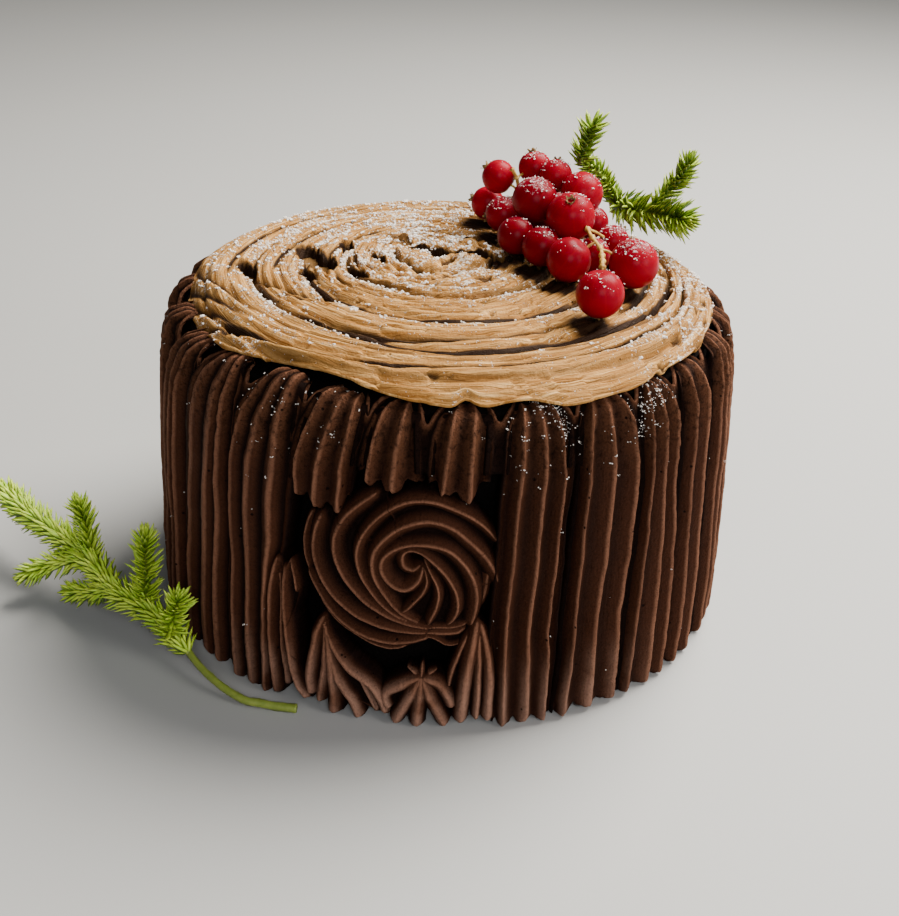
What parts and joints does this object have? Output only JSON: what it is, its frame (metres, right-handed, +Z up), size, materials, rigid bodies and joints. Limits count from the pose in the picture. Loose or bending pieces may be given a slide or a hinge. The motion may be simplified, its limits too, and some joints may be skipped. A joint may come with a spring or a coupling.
{
  "type": "upright yule log cake",
  "caption": "Upright yule log cake piped as a tree stump: bark strips, a rosette knot, a swirled mocha top, redcurrants and spruce sprigs.",
  "frame": {"origin": "centre of the cake's flat base", "axes": "+Z up out of the top, -Y out through the rosette knot, +X to the knot's right"},
  "size_m": [0.2131, 0.1595, 0.1273],
  "materials": {
    "chocolate_sponge": "matte",
    "chocolate_buttercream": "satin",
    "mocha_buttercream": "satin",
    "redcurrant_skin": "gloss",
    "currant_stalk": "satin",
    "spruce_green": "satin",
    "icing_sugar": "matte"
  },
  "bodies": {
    "root": {"back_stalk": "currant_stalk", "bark_strip_01": "chocolate_buttercream", "bark_strip_02": "chocolate_buttercream", "bark_strip_03": "chocolate_buttercream", "bark_strip_04": "chocolate_buttercream", "bark_strip_05": "chocolate_buttercream", "bark_strip_06": "chocolate_buttercream", "bark_strip_07": "chocolate_buttercream", "bark_strip_08": "chocolate_buttercream", "bark_strip_09": "chocolate_buttercream", "bark_strip_10": "chocolate_buttercream", "bark_strip_11": "chocolate_buttercream", "bark_strip_12": "chocolate_buttercream", "bark_strip_13": "chocolate_buttercream", "bark_strip_14": "chocolate_buttercream", "bark_strip_15": "chocolate_buttercream", "bark_strip_16": "chocolate_buttercream", "bark_strip_17": "chocolate_buttercream", "bark_strip_18": "chocolate_buttercream", "bark_strip_19": "chocolate_buttercream", "bark_strip_20": "chocolate_buttercream", "bark_strip_21": "chocolate_buttercream", "bark_strip_22": "chocolate_buttercream", "bark_strip_23": "chocolate_buttercream", "cake_body": "chocolate_sponge", "dab_strip": "chocolate_buttercream", "foot_strip": "chocolate_buttercream", "front_stalk": "currant_stalk", "knot_rosette": "chocolate_buttercream", "mocha_swirl": "mocha_buttercream", "redcurrant_a": "redcurrant_skin", "redcurrant_b": "redcurrant_skin", "redcurrant_c": "redcurrant_skin", "redcurrant_d": "redcurrant_skin", "redcurrant_e": "redcurrant_skin", "redcurrant_f": "redcurrant_skin", "redcurrant_g": "redcurrant_skin", "redcurrant_h": "redcurrant_skin", "redcurrant_i": "redcurrant_skin", "redcurrant_j": "redcurrant_skin", "redcurrant_k": "redcurrant_skin", "redcurrant_l": "redcurrant_skin", "redcurrant_m": "redcurrant_skin", "redcurrant_n": "redcurrant_skin", "redcurrant_o": "redcurrant_skin", "redcurrant_p": "redcurrant_skin", "redcurrant_q": "redcurrant_skin", "redcurrant_r": "redcurrant_skin", "redcurrant_s": "redcurrant_skin", "short_strip_1": "chocolate_buttercream", "short_strip_2": "chocolate_buttercream", "short_strip_3": "chocolate_buttercream", "side_spruce": "spruce_green", "slanted_shell": "chocolate_buttercream", "star_dollop": "chocolate_buttercream", "top_spruce": "spruce_green"}
  },
  "joints": []
}
